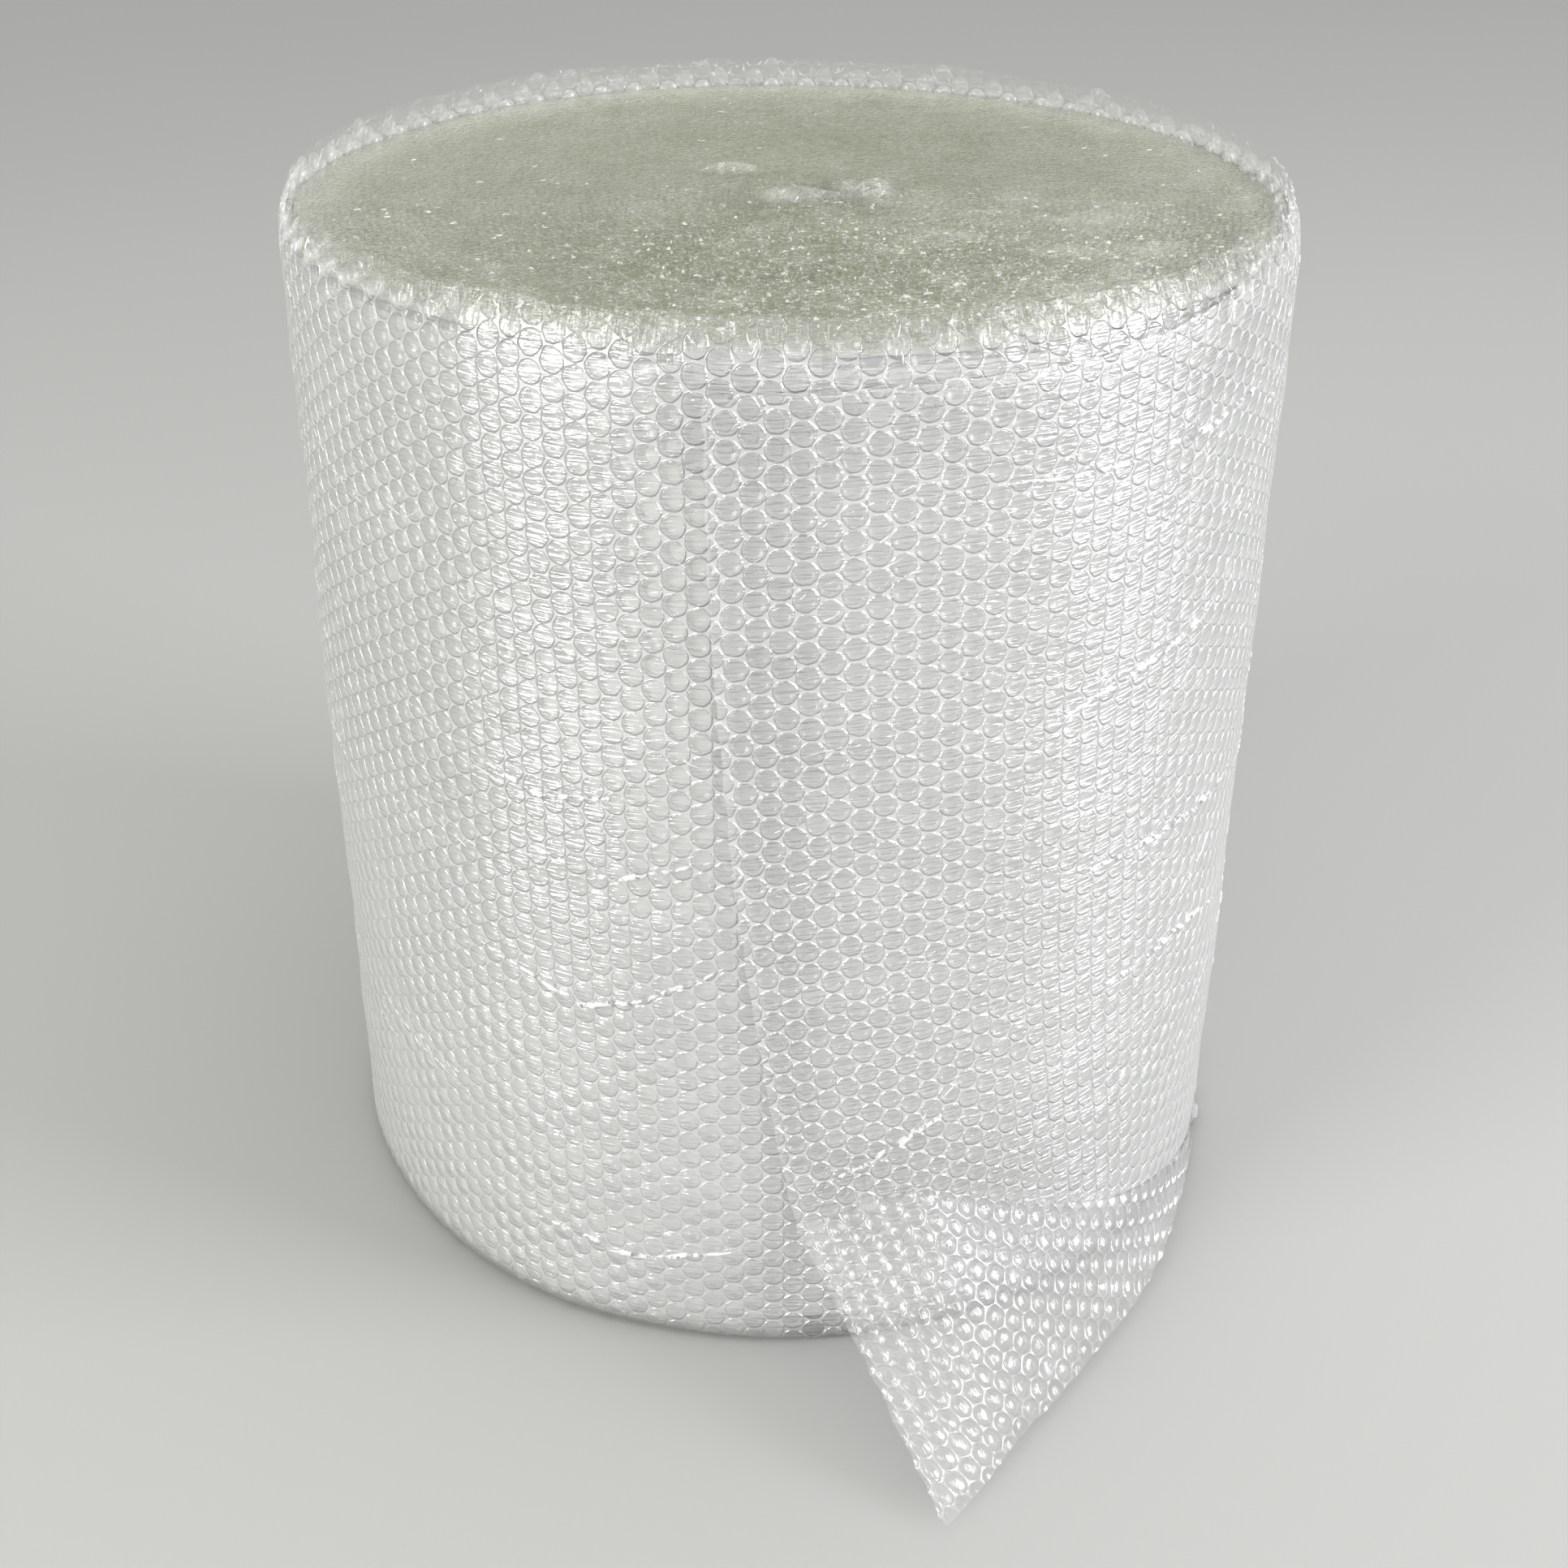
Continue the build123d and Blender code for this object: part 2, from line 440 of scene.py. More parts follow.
def webPoint(u, v):
    u, v = np.asarray(u, float), np.asarray(v, float)
    bend = bendAcross(u)
    loose = (u < corner["end"]) & (v < bend)
    points = onRoll(u, np.where(loose, bend, v))
    if loose.any():
        a, b = u[loose], v[loose]
        top, edge = points[loose], cornerEdge(a)
        drop = np.linalg.norm(edge - top, axis=1)
        share = ((bend[loose] - b) / drop)[:, None]
        fade = (1 - smooth(a / corner["end"]))[:, None]
        bow = np.sin(np.clip(share, 0, 1) * math.pi) * corner["bow"] * fade
        ripple = corner["ripple"] * waves(21, np.stack([a, b], 1), 8, 0.09, 0.03)[:, None]
        ripple = ripple * smooth(share * 4) * smooth((1.05 - share) * 6)
        out = np.cross(np.array([1.0, 0.35, 0.0]), edge - top)
        out = out / np.linalg.norm(out, axis=1)[:, None]
        out = out * np.sign(out[:, 2:3])
        points[loose] = top + (edge - top) * share + out * (bow + ripple)
    return points


def webNormal(u, v):
    step = 0.0006
    along = webPoint(u + step, v) - webPoint(u - step, v)
    up = webPoint(u, v + step) - webPoint(u, v - step)
    n = np.cross(along, up)
    return n / np.maximum(np.linalg.norm(n, axis=1), 1e-12)[:, None]


def thinness(points):
    # 1 where nothing pale lies behind the film: above the end face, and at the very foot
    above = smooth((points[:, 2] - (rollHeight - 0.019)) / 0.010)
    return np.maximum(above, 0.45 * smooth((0.013 - points[:, 2]) / 0.007))


def calmness(u, points):
    # 1 where the film lies smooth: low down, and away from the cut end on its loose side
    side = np.where(u < 0.72, smooth((u - 0.10) / 0.15), 1 - smooth((u - web["around"]) / 0.05))
    level = 0.37 + 0.05 * waves(24, np.stack([u, points[:, 2]], 1), 6, 0.30, 0.08)
    return side * smooth((level - points[:, 2]) / 0.28)


def bubbleCentres(start, end, lowOf, highOf, margin):
    # centres of the bubbles whose whole circle is on the film
    spots = []
    for column in range(int(math.ceil(start / web["columnStep"])), int(end / web["columnStep"]) + 1):
        u = column * web["columnStep"]
        bottom, top = lowOf(np.array([u]))[0] + margin, highOf(np.array([u]))[0] - margin
        shift = 0.5 * (column % 2)
        rows = np.arange(math.ceil(bottom / web["pitch"] - shift), math.floor(top / web["pitch"] - shift) + 1)
        spots.append(np.stack([np.full(len(rows), u), (rows + shift) * web["pitch"]], 1))
    return np.concatenate(spots)


def bubbleCups(name, spots, place, normalAt, material, seed, sides=12):
    # thin cups sealed to the flat film round their rims and reaching in from it
    rings = ((0.50, 0.0), (0.485, 0.55), (0.415, 0.90))   # radius and depth shares from rim to end
    rng = np.random.default_rng(seed)
    count = len(spots)
    size = web["bubble"] * rng.uniform(0.97, 1.02, count)
    deep = web["depth"] * np.where(rng.random(count) < 0.03, 0.4, rng.uniform(0.85, 1.0, count))
    tilt = rng.normal(0, 0.10, (count, 2))
    normals = normalAt(spots[:, 0], spots[:, 1])
    turn = np.arange(sides) * 2 * math.pi / sides
    rows, depths = [], []
    for share, sink in rings:
        du = np.cos(turn)[None, :] * share * size[:, None]
        dv = np.sin(turn)[None, :] * share * size[:, None]
        base = place((spots[:, :1] + du).ravel(), (spots[:, 1:] + dv).ravel()).reshape(count, sides, 3)
        lean = 1 + (du * tilt[:, :1] + dv * tilt[:, 1:]) / (0.5 * size[:, None])
        rows.append(base - normals[:, None, :] * (deep[:, None] * sink * lean)[:, :, None])
        depths.append(np.full((count, sides), sink))
    rows.append((place(spots[:, 0], spots[:, 1]) - normals * deep[:, None])[:, None, :])
    depths.append(np.ones((count, 1)))
    points = np.concatenate(rows, 1)
    each = points.shape[1]
    s, t = np.arange(sides), (np.arange(sides) + 1) % sides
    last = (len(rings) - 1) * sides
    quads = np.concatenate([np.stack([k + s, k + t, k + sides + t, k + sides + s], 1)
                            for k in range(0, last, sides)])
    fan = np.stack([last + s, last + t, np.full(sides, each - 1)], 1)
    offset = (np.arange(count) * each)[:, None, None]
    faces = [(quads[None] + offset).reshape(-1, 4), (fan[None] + offset).reshape(-1, 3)]
    points = points.reshape(-1, 3)
    fields = {"depth": np.concatenate(depths, 1).ravel(), "thin": thinness(points)}
    return settle(makeMesh(name, points, faces, True, fields), material)


def filmSheet(name, start, end, lowOf, highOf, place, material, stepU=0.0034, rows=8, dome=0.0):
    # the flat film itself, as a fine grid, in low domes over the bubbles where it is slack
    across = int((end - start) / stepU) + 1
    u = np.tile(np.linspace(start, end, across), rows)
    share = np.repeat(np.linspace(0, 1, rows), across)
    bottom, top = lowOf(u), highOf(u)
    v = bottom + (top - bottom) * share
    if start == 0.0:                                   # the cut end isn't quite straight
        first = np.arange(len(u)) % across == 0
        u[first] = 0.0007 + 0.0007 * waves(19, np.stack([v[first], v[first] * 0], 1), 9, 0.03, 0.008)
    faces = [gridFaces(across, rows)]
    where = np.stack([u, v, np.zeros(len(u))], 1)
    points = place(u, v)
    if dome:
        share = np.clip(bubbleGap(u, v) / (0.5 * web["bubble"]), 0, 1)
        points = points + webNormal(u, v) * (dome * (1 - share ** 3) ** 0.8)[:, None]
    fields = {"place": where, "thin": thinness(points), "calm": calmness(u, points)}
    return settle(makeMesh(name, points, faces, True, fields), material)


def wholeWidth(u):
    return web["width"] - 0.0008 + 0.0009 * waves(16, np.stack([u, u * 0], 1), 9, 0.06, 0.010)


def footHeight(u):
    return np.full(len(u), 0.118)


def bandFoot(u):
    return np.full(len(u), 0.440)


def bandTop(u):
    return np.full(len(u), 0.4985)


def noHeight(u):
    return np.zeros(len(u))


def buildWeb(woundFilm, looseFilm, woundBubbles, looseBubbles):
    # the outermost turn, from the cut end round to where it slides under itself
    end = web["around"] + 0.045
    bend = corner["end"]
    filmSheet("outer_turn_film", 0.0, bend, bendAcross, wholeWidth, webPoint, woundFilm, rows=140)
    filmSheet("outer_turn_film_round", bend, end, lowEdge, wholeWidth, webPoint, woundFilm, 0.0036, 130)
    filmSheet("loose_corner_film", 0.0, bend, lowEdge, bendAcross, webPoint, looseFilm, 0.0011, 126, 0.0014)
    spots = bubbleCentres(0.004, end, lowEdge, wholeWidth, web["seal"])
    loose = (spots[:, 0] < corner["end"]) & (spots[:, 1] < bendAcross(spots[:, 0]))
    bubbleCups("loose_corner_bubbles", spots[loose], webPoint, webNormal, looseBubbles, 30)
    wound = spots[~loose]
    for part in range(4):
        share = wound[(wound[:, 0] >= end * part / 4) & (wound[:, 0] < end * (part + 1) / 4)]
        bubbleCups(f"outer_turn_bubbles_{part + 1}", share, webPoint, webNormal, woundBubbles, 31 + part)
    # the same web one turn on: above the skewed upper edge, and behind the loose corner
    start = web["around"]
    first, last = start - 0.01, start + 0.50
    filmSheet("second_turn_band_film", first, last, bandFoot, bandTop, webPoint, woundFilm, rows=20)
    band = bubbleCentres(start - 0.008, start + 0.495, bandFoot, bandTop, web["seal"])
    bubbleCups("second_turn_band_bubbles", band, webPoint, webNormal, woundBubbles, 41, 10)
    last = start + 0.37
    filmSheet("second_turn_foot_film", end, last, noHeight, footHeight, webPoint, woundFilm, 0.0036, 34)
    foot = bubbleCentres(end + 0.004, start + 0.365, noHeight, footHeight, web["seal"])
    bubbleCups("second_turn_foot_bubbles", foot, webPoint, webNormal, woundBubbles, 42, 10)
    print("outer turn:", len(spots), "bubbles")


def buildInner(material):
    # what shows through the outermost turn: the turns beneath, a full bubble's depth further in
    inner = {"inset": 0.0013, "from": 0.0145, "to": 0.4795, "start": -0.02}
    across, rows = 300, 70
    u = np.tile(np.linspace(inner["start"], web["around"] + inner["start"], across), rows)
    v = np.repeat(np.linspace(inner["from"], inner["to"], rows), across)
    angle = np.radians(web["seamTop"]) + u / (rollRadius - web["turn"] / 2)
    r = rollRadius - 2 * web["turn"] - inner["inset"]
    points = np.stack([r * np.sin(angle), -r * np.cos(angle), v], 1)
    # its bubbles: a slightly different pitch, and shifted
    where = np.stack([u * 0.995 + 0.004, v * 1.004 + 0.0037, np.zeros(len(u))], 1)
    settle(makeMesh("inner_turns", points, [gridFaces(across, rows)], True, {"place": where}), material)


def buildRim(rimFilm, rimBubbles):
    # the few outer turns that stand above the end face
    rim = {
        "turns": 2,
        "middle": rollRadius - 0.007,
        "outer": rollRadius - 0.0058,
        "step": 0.0040,          # from turn to turn
        "foot": 0.474,
        "top": 0.4965,
        "fall": 0.0050,          # each turn ends this much lower than the one outside it
    }
    length = 2 * math.pi * rim["middle"]
    for turn in range(rim["turns"]):
        def place(u, v, turn=turn):
            angle = u / rim["middle"]
            sheet = np.stack([u + 5.0 * turn, v], 1)
            r = rim["outer"] - rim["step"] * turn + 0.0008 * waves(51 + turn, sheet, 9, 0.16, 0.03)
            r = r - topLean(sheet, 0.0065 + 0.0035 * np.cos(angle)) * 0.9
            return np.stack([r * np.sin(angle), -r * np.cos(angle), v], 1)

        def unit(u, v, place=place):
            step = 0.0006
            n = np.cross(place(u + step, v) - place(u - step, v), place(u, v + step) - place(u, v - step))
            return n / np.linalg.norm(n, axis=1)[:, None]

        def bottom(u):
            return np.full(len(u), rim["foot"])

        def top(u, turn=turn):
            ragged = 0.0020 * waves(61 + turn, np.stack([u, u * 0], 1), 9, 0.09, 0.012)
            return rim["top"] - rim["fall"] * turn + ragged

        filmSheet(f"rim_turn_{turn + 1}_film", 0.0, length, bottom, top, place, rimFilm, 0.003, 8)
        spots = bubbleCentres(0.001, length, bottom, top, 0.0030)
        bubbleCups(f"rim_turn_{turn + 1}_bubbles", spots, place, unit, rimBubbles, 71 + turn, 10)


# the two ends: height and depth of the film edges, and the closed face under them
ends = {
    "top": {
        "face": 0.4834, "deep": 0.0028, "inside": 0.0145, "facing": 1, "perColumn": 5, "seed": 101,
        "base": 0.4825, "baseInside": 0.0085, "rise": 0.0010},
    "bottom": {
        "face": 0.0006, "deep": 0.006, "inside": 0.016, "facing": -1, "perColumn": 2, "seed": 111,
        "base": 0.0055, "baseInside": 0.014, "rise": 0.0},
}


def endRise(r):
    # the outermost turns ride up towards the rim
    return smooth((r - rollRadius + 0.045) / 0.032)


def looseCentre(r):
    # 1 at the middle of an end, where the first turns are loose and crumpled
    return np.clip(1 - r / 0.045, 0, 1)


def endFields(points):
    # paler towards the rim, in ripples on one side and at the crumpled centre; more sparkle towards the
    # front, which weights the painted glints and flecks
    flat = points[:, :2]
    r, angle = np.hypot(flat[:, 0], flat[:, 1]), np.arctan2(flat[:, 0], -flat[:, 1])
    ripple = waves(141, np.stack([angle * 0.10, r], 1), 10, 0.030, 0.008, (1.0, 0.25))
    side = np.exp(-((angle - 1.15) / 0.65) ** 2) * smooth((r - 0.05) / 0.05) * smooth((0.22 - r) / 0.03)
    pale = 0.17 * smooth((r - 0.10) / 0.12) + 0.30 * endRise(r) + 0.30 * looseCentre(r)
    pale = pale + side * np.clip(0.10 + 0.35 * ripple, 0, 0.5)
    # front weighting for the painted glints and flecks, and for the curled glint strips
    lively = smooth((0.07 - flat[:, 1]) / 0.19) * (0.45 + 0.55 * smooth((flat[:, 0] + 0.13) / 0.12))
    return {"pale": np.clip(pale, 0, 1), "lively": lively}


def buildEnd(name, faceHeight, deep, outer, material, seed, perColumn, facing):
    # the end of the roll: the spiral of film edges, each with the scallops of its cut bubbles
    spiral = {"start": 0.010, "stray": 0.00035, "wander": 0.0009, "heave": 0.0004, "uneven": 0.0002}
    gap = web["turn"]
    turns = (outer - spiral["start"]) / gap
    table = np.linspace(0, turns * 2 * math.pi, 28000)
    radii = spiral["start"] + gap * table / (2 * math.pi)
    lengths = np.concatenate([[0], np.cumsum((radii[1:] + radii[:-1]) / 2 * np.diff(table))])
    columns = int(lengths[-1] / web["columnStep"])
    s = np.arange(columns * perColumn) * web["columnStep"] / perColumn
    angle = np.interp(s, lengths, table)
    r = spiral["start"] + gap * angle / (2 * math.pi)
    rng = np.random.default_rng(seed)
    lost = looseCentre(r)
    flat = np.stack([r * np.sin(angle), r * np.cos(angle)], 1)
    r = r + spiral["wander"] * waves(seed + 1, flat, 12, 0.06, 0.012)
    r = r + spiral["stray"] * rng.normal(0, 1, len(s))
    r = r + 0.0030 * lost * waves(seed + 2, flat, 10, 0.04, 0.010)
    eachTurn = rng.normal(0, 1, int(turns) + 2)[(angle / (2 * math.pi)).astype(int)]
    heave = spiral["heave"] * waves(seed + 3, flat, 12, 0.05, 0.010) + spiral["uneven"] * eachTurn
    heave = heave + spiral["stray"] * rng.normal(0, 1, len(s))
    heave = heave + lost * (0.003 + 0.004 * waves(seed + 4, flat, 8, 0.03, 0.008))
    if facing > 0:                                     # only the upper end has a rim to ride up to
        heave = heave + endRise(r) * (0.0012 + 0.0010 * waves(seed + 5, flat, 10, 0.05, 0.010))
    phase = s / web["columnStep"]
    wide = np.where(np.floor(phase) % 2 == 0, 1.0, 0.25) * np.sin((phase % 1) * math.pi)
    out = np.stack([np.sin(angle), -np.cos(angle)], 1)
    lines = []
    for inward, drop in ((0.0, 0.0), (0.0, deep), (1.0, 0.0), (1.0, deep)):
        radius = r - inward * (0.0002 + wide * gap * 0.86)
        z = faceHeight + facing * ((heave if drop == 0 else 0) - drop)
        lines.append(np.column_stack([out * radius[:, None], np.broadcast_to(z, len(s))]))
    count = len(s)
    points = np.concatenate(lines)
    if facing < 0:                                     # nothing of it goes through the floor
        points[:, 2] = np.maximum(points[:, 2], 0.0004)
    i = np.arange(count - 1)
    faces = [np.stack([i + a, i + 1 + a, i + 1 + a + count, i + a + count], 1) for a in (0, 2 * count)]
    return settle(makeMesh(name, points, faces, facing < 0, endFields(points)), material)


def buildCore(material):
    # the first turns, loose and crumpled, with no tube inside them
    core = {
        # each scrap's place, and half its width and depth
        "scraps": ((-0.026, 0.040, 0.022, 0.012),
                   (0.036, 0.004, 0.020, 0.030),
                   (0.004, -0.006, 0.030, 0.020)),
        "height": 0.4846,
        "fold": 0.0032,
        "side": 64,              # points along each side of a scrap's grid
    }
    side = core["side"]
    for number, (x, y, wide, deep) in enumerate(core["scraps"]):
        a, b = np.meshgrid(np.linspace(-1, 1, side), np.linspace(-1, 1, side))
        a, b = a.ravel(), b.ravel()
        # a square pulled to a ragged disc
        reach = np.maximum(np.abs(a), np.abs(b))
        long = np.maximum(np.hypot(a, b), 1e-6)
        a, b = a * reach / long, b * reach / long
        flat = np.stack([a * wide + x, b * deep + y], 1)
        ragged = 1 + 0.22 * waves(121 + number, np.stack([np.arctan2(b, a), a * 0], 1), 6, 2.0, 0.5)
        flat = (flat - (x, y)) * ragged[:, None] + (x, y)
        fold = np.abs(waves(131 + number, flat, 10, 0.030, 0.007))
        z = core["height"] + core["fold"] * (1 - fold) * (1 - reach ** 3) - 0.0010 * reach
        points = np.column_stack([flat, z])
        fade = smooth((reach - 0.35) / 0.6)            # its edges fade into the end
        fields = {"place": np.column_stack([flat, z * 0]), "thin": fade, "calm": np.zeros(len(z))}
        settle(makeMesh(f"core_film_{number + 1}", points, [gridFaces(side, side)], True, fields), material)


def buildGlints(material):
    # the ends of cut bubbles curl up and catch the light, most of them towards the front
    glints = {"count": 1300, "height": 0.4846, "reach": 0.211, "width": 0.0010, "rise": 0.0011}
    rng = np.random.default_rng(151)

    def place(a, b):
        return np.stack([a, b, np.full(len(a), glints["height"])], 1)

    def unit(a, b):
        return np.tile([0.0, 0.0, 1.0], (len(a), 1))

    points, faces, start = [], [], 0
    for _ in range(glints["count"]):
        r, angle = glints["reach"] * math.sqrt(rng.random()), rng.uniform(0, 2 * math.pi)
        x, y = r * math.sin(angle), -r * math.cos(angle)
        curl, bend = rng.uniform(0.0010, 0.0030), rng.uniform(0.8, 2.4)
        turn = rng.uniform(0, 2 * math.pi) + bend * np.linspace(0, 1, 6)
        size, wanted = rng.uniform(0.45, 1.05), rng.random()
        lively = endFields(np.array([[x, y, 0.0]]))["lively"][0]
        if wanted > 0.06 + 0.94 * lively:
            continue
        size *= 0.55 + 0.45 * lively
        path = np.column_stack([x + curl * np.cos(turn), y + curl * np.sin(turn)])
        p, f = strip(place, unit, path, glints["width"] * size, glints["rise"] * size, 8, rng, 0.0001, 0.0)
        points.append(p)
        faces.append(f + start)
        start += len(p)
    settle(makeMesh("end_glints", np.concatenate(points), [np.concatenate(faces)]), material)


def buildDisc(name, height, radius, material, rise):
    # closes the end under the film edges
    across, rings = 180, 48
    angle = np.tile(np.linspace(0, 2 * math.pi, across), rings)
    r = np.repeat(np.linspace(0.0005, radius, rings), across)
    points = np.stack([r * np.sin(angle), -r * np.cos(angle), np.full(len(r), height)], 1)
    points[:, 2] += 0.0003 * waves(81, points[:, :2], 8, 0.12, 0.03) + rise * endRise(r)
    return settle(makeMesh(name, points, [gridFaces(across, rings)], True, endFields(points)), material)


def strip(place, unit, path, width, height, samples, rng, jag=0.0006, sag=0.0015):
    # a small ridge of pinched film along a path on the sheet, tapering to nothing at its ends
    path = np.array(path, float)
    share = np.linspace(0, 1, samples)
    at = np.linspace(0, 1, len(path))
    arch = np.sin(share * math.pi)
    u = np.interp(share, at, path[:, 0]) + np.cumsum(rng.normal(0, jag * 0.5, samples)) * arch
    v = np.interp(share, at, path[:, 1]) + np.cumsum(rng.normal(0, jag, samples)) * arch
    v = v - sag * arch
    way = np.stack([np.gradient(u), np.gradient(v)], 1)
    way = way / np.maximum(np.linalg.norm(way, axis=1), 1e-9)[:, None]
    side = np.stack([-way[:, 1], way[:, 0]], 1)
    taper = arch ** 0.5 * rng.uniform(0.65, 1.25, samples)
    rows = []
    for across, lift in ((-1.0, -0.15), (-0.35, 0.75), (0.15, 1.0), (1.0, -0.15)):
        a = u + side[:, 0] * across * width * 0.5 * taper
        b = v + side[:, 1] * across * width * 0.5 * taper
        rows.append(place(a, b) + unit(a, b) * (lift * height * taper)[:, None])
    return np.concatenate(rows), gridFaces(samples, 4)


def buildCreases(material):
    # tension creases: long ones where the loose corner pulls, and many short ones
    creases = {
        "long": (((0.14, 0.322), (0.19, 0.338), (0.243, 0.348)),
                 ((0.155, 0.243), (0.225, 0.246), (0.295, 0.240)),
                 ((0.165, 0.176), (0.23, 0.176), (0.29, 0.166)),
                 ((0.02, 0.108), (0.055, 0.124), (0.09, 0.140)),
                 ((0.115, 0.432), (0.19, 0.428), (0.275, 0.438)),
                 ((1.335, 0.296), (1.37, 0.288), (1.41, 0.293)),
                 ((1.358, 0.261), (1.40, 0.256), (1.445, 0.268)),
                 ((1.326, 0.200), (1.38, 0.186), (1.412, 0.197), (1.447, 0.215)),
                 ((1.345, 0.052), (1.40, 0.050), (1.455, 0.058))),
        "short": 230,            # scattered over the side
        "rim": 260,              # gathered along the upper edge
        "width": 0.0015,
        "height": 0.0008,
        "longSize": 2.1,         # the long ones are this much wider and higher
    }
    rng = np.random.default_rng(90)
    paths = []
    for path in creases["long"]:
        u, z = np.array(path).T
        paths.append(list(zip(u, z + web["width"] - curve(selvedge, u))))
    sizes = [creases["longSize"]] * len(paths)
    for _ in range(creases["short"]):
        after, before = rng.uniform(0.01, 0.42), rng.uniform(1.15, 1.44)   # the cut end
        u = rng.choice([after, before, rng.uniform(0.42, 1.15)], p=[0.45, 0.30, 0.25])
        v = rng.uniform(0.10, 0.47)
        length = math.exp(rng.uniform(math.log(0.010), math.log(0.065)))
        slope = rng.normal(0.30, 0.18) if u < 0.45 else rng.normal(-0.18, 0.2)
        paths.append([(u, v), (u + length, v + slope * length)])
        sizes.append(rng.uniform(0.35, 0.75))
    for _ in range(creases["rim"]):
        u, v = rng.uniform(0.25, web["around"] + 0.42), web["width"] - rng.uniform(0.001, 0.014)
        length, lean = rng.uniform(0.003, 0.009), rng.normal(math.pi / 2, 0.6)
        paths.append([(u, v), (u + length * math.cos(lean), v - abs(length * math.sin(lean)))])
        sizes.append(rng.uniform(0.35, 0.65))
    points, faces, start = [], [], 0
    for path, size in zip(paths, sizes):
        samples = max(8, int(abs(path[-1][0] - path[0][0]) / 0.0028))
        width, height = creases["width"] * size, creases["height"] * size
        p, f = strip(webPoint, webNormal, path, width, height, samples, rng)
        points.append(p)
        faces.append(f + start)
        start += len(p)
    settle(makeMesh("tension_creases", np.concatenate(points), [np.concatenate(faces)]), material)


def buildSelvedge(material):
    # the sealed upper edge of the web, where it stands clear of the turn beneath
    line = {"from": 0.17, "to": 0.42, "steps": 90, "inside": 0.0012, "halfWidth": 0.0006, "height": 0.0008}
    rng = np.random.default_rng(95)
    u = np.linspace(line["from"], line["to"], line["steps"])
    sway = 0.0005 * np.sin(np.arange(len(u)) * 1.9) + rng.normal(0, 0.00025, len(u))
    rows = []
    for across, lift in ((-1.0, -0.1), (-0.4, 0.5), (0.2, 0.6), (1.0, -0.1)):
        v = web["width"] - line["inside"] + across * line["halfWidth"] + sway
        rows.append(webPoint(u, v) + webNormal(u, v) * (lift * line["height"]))
    settle(makeMesh("selvedge", np.concatenate(rows), [gridFaces(len(u), 4)]), material)


def buildStage():
    floor = {"size": 9.0, "colour": (0.425, 0.427, 0.416, 1.0)}
    half = floor["size"]
    corners = np.array([(-half, -half, 0), (half, -half, 0), (half, half, 0), (-half, half, 0)], float)
    piece = makeMesh("floor", corners, [np.array([[0, 1, 2, 3]])], False)
    shade = Shade("floorPaint")
    where = shade.node("ShaderNodeTexCoord")["Object"]
    tone = shade.blend(shade.noise(where, 0.8, 2.0, 0.5), floor["colour"], (0.463, 0.465, 0.453, 1.0))
    material = shade.finish(shade.node("ShaderNodeBsdfPrincipled", {}, {
        "Base Color": tone, "Roughness": 0.5, "Specular IOR Level": 0.3})[0])
    piece.data.materials.append(material)


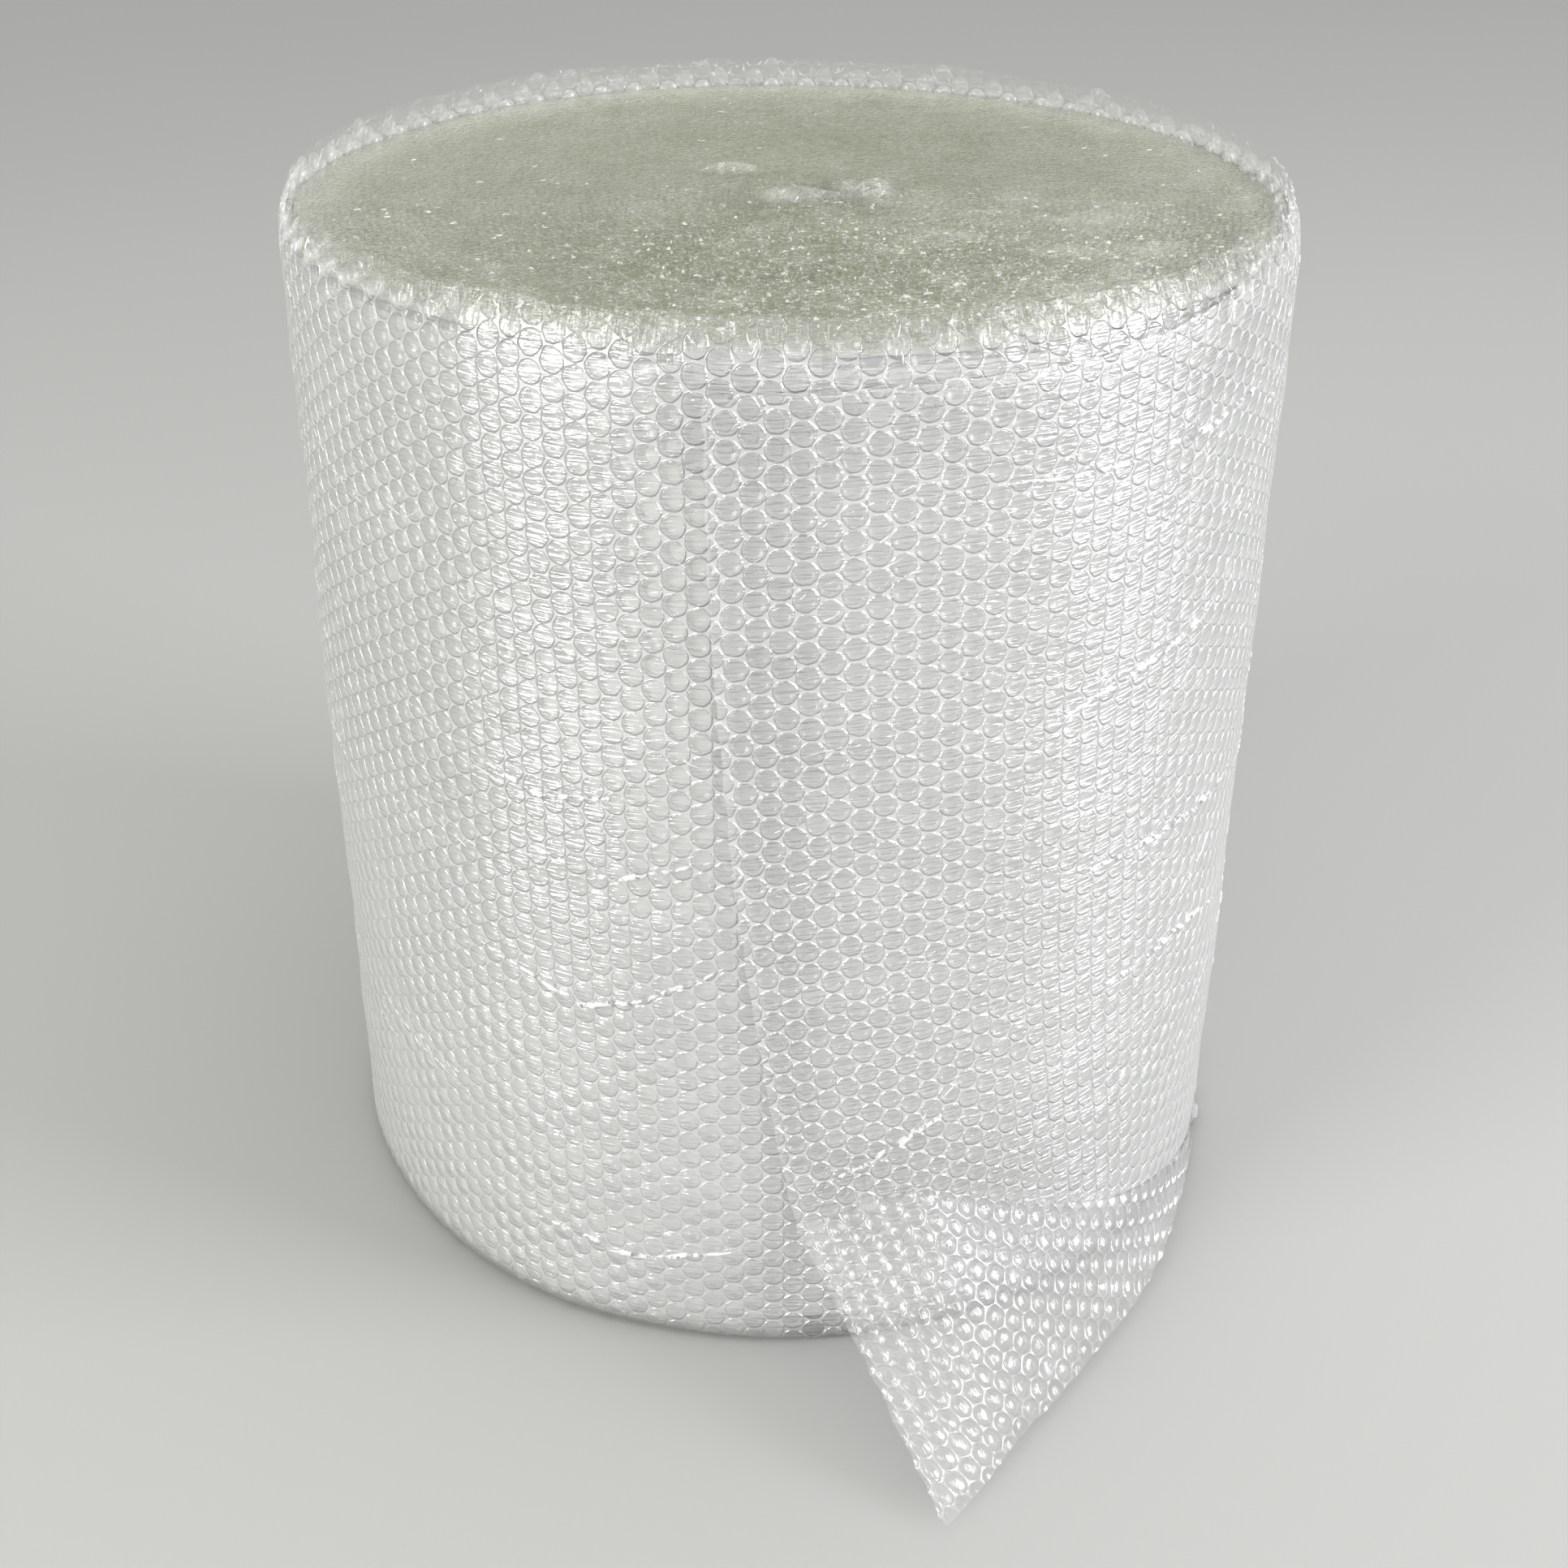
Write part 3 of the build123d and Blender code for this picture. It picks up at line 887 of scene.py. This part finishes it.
def buildLights():
    lights = (
        ("left window", (-2.35, -1.85, 1.45), (1.4, 1.7), 69.5, (1.0, 0.99, 0.97)),
        ("right window", (2.8, -0.9, 1.5), (1.4, 1.7), 80.0, (0.98, 0.99, 1.0)),
        ("ceiling", (0.0, 0.2, 3.2), (2.4, 2.4), 20.0, (1.0, 1.0, 0.98)),
    )
    for name, place, size, power, colour in lights:
        data = bpy.data.lights.new(name, "AREA")
        data.shape = "RECTANGLE"
        data.size, data.size_y = size
        data.energy = power
        data.color = colour
        lamp = bpy.data.objects.new(name, data)
        lamp.location = place
        lamp.rotation_euler = (Vector((0, 0, 0.25)) - Vector(place)).to_track_quat("-Z", "Y").to_euler()
        bpy.context.scene.collection.objects.link(lamp)
    # the room is darker to the left
    room = Shade(bpy.data.worlds.new("room"))
    side = room.node("ShaderNodeSeparateXYZ", {}, {0: room.node("ShaderNodeTexCoord")["Generated"]})[0]
    stops = ((0.0, (0.31, 0.32, 0.30)), (0.45, (0.71, 0.72, 0.705)), (1.0, (0.86, 0.87, 0.865)))
    tone = room.node("ShaderNodeValToRGB", {"stops": stops}, {0: side * 0.55 + 0.5})[0]
    room.node("ShaderNodeOutputWorld", {}, {0: room.node("ShaderNodeBackground", {}, {0: tone})[0]})
    bpy.context.scene.world = room.owner
    bpy.context.scene.view_settings.view_transform = "Standard"
    # many thin layers of film lie behind each other
    bpy.context.scene.cycles.transparent_max_bounces = 12
    bpy.context.scene.cycles.max_bounces = 2
    bpy.context.scene.cycles.diffuse_bounces = 1
    bpy.context.scene.cycles.glossy_bounces = 1


def buildCamera():
    view = {"back": 4.277, "above": 1.071, "pitch": 30.07, "roll": 0.39, "lens": 50.05}
    data = bpy.data.cameras.new("camera")
    data.lens = view["lens"]
    data.sensor_width = 36.0
    camera = bpy.data.objects.new("camera", data)
    tilt = Matrix.Rotation(math.radians(90 - view["pitch"]), 4, "X")
    roll = Matrix.Rotation(math.radians(view["roll"]), 4, "Z")
    place = Matrix.Translation((0, -view["back"] * rollRadius, rollHeight + view["above"] * rollRadius))
    camera.matrix_world = place @ tilt @ roll
    bpy.context.scene.collection.objects.link(camera)
    bpy.context.scene.camera = camera


buildCamera()
buildStage()
buildLights()
print("camera, floor and lights")
films = {name: filmMaterial(name, look) for name, look in filmLooks.items()}
cups = {name: cupMaterial(name, look) for name, look in cupLooks.items()}
endFilm, endEdges = endFilmMaterial("endFilm", 1.0), endFilmMaterial("endEdges", 0.36)
crease, edge = creaseMaterial("crease", 0.02, 0.8), creaseMaterial("filmEdge", 0.05, 0.6)
buildInner(innerTurnMaterial())
buildWeb(films["woundFilm"], films["looseFilm"], cups["woundBubbles"], cups["looseBubbles"])
buildRim(films["rimFilm"], cups["rimBubbles"])
print("bubble film")
for side, end in ends.items():
    outer, baseOuter = rollRadius - end["inside"], rollRadius - end["baseInside"]
    turns = (end["face"], end["deep"], outer, endEdges, end["seed"], end["perColumn"], end["facing"])
    buildEnd(f"{side}_end_turns", *turns)
    buildDisc(f"{side}_end_base", end["base"], baseOuter, endFilm, end["rise"])
buildCore(films["coreFilm"])
buildGlints(creaseMaterial("glint", 0.05, 0.50))
print("ends")
buildCreases(crease)
buildSelvedge(edge)
print("creases and selvedge")

shown = [piece.data for piece in bpy.data.objects if piece.type == "MESH" and not piece.hide_render]
print("triangles", sum(len(face.vertices) - 2 for mesh in shown for face in mesh.polygons))
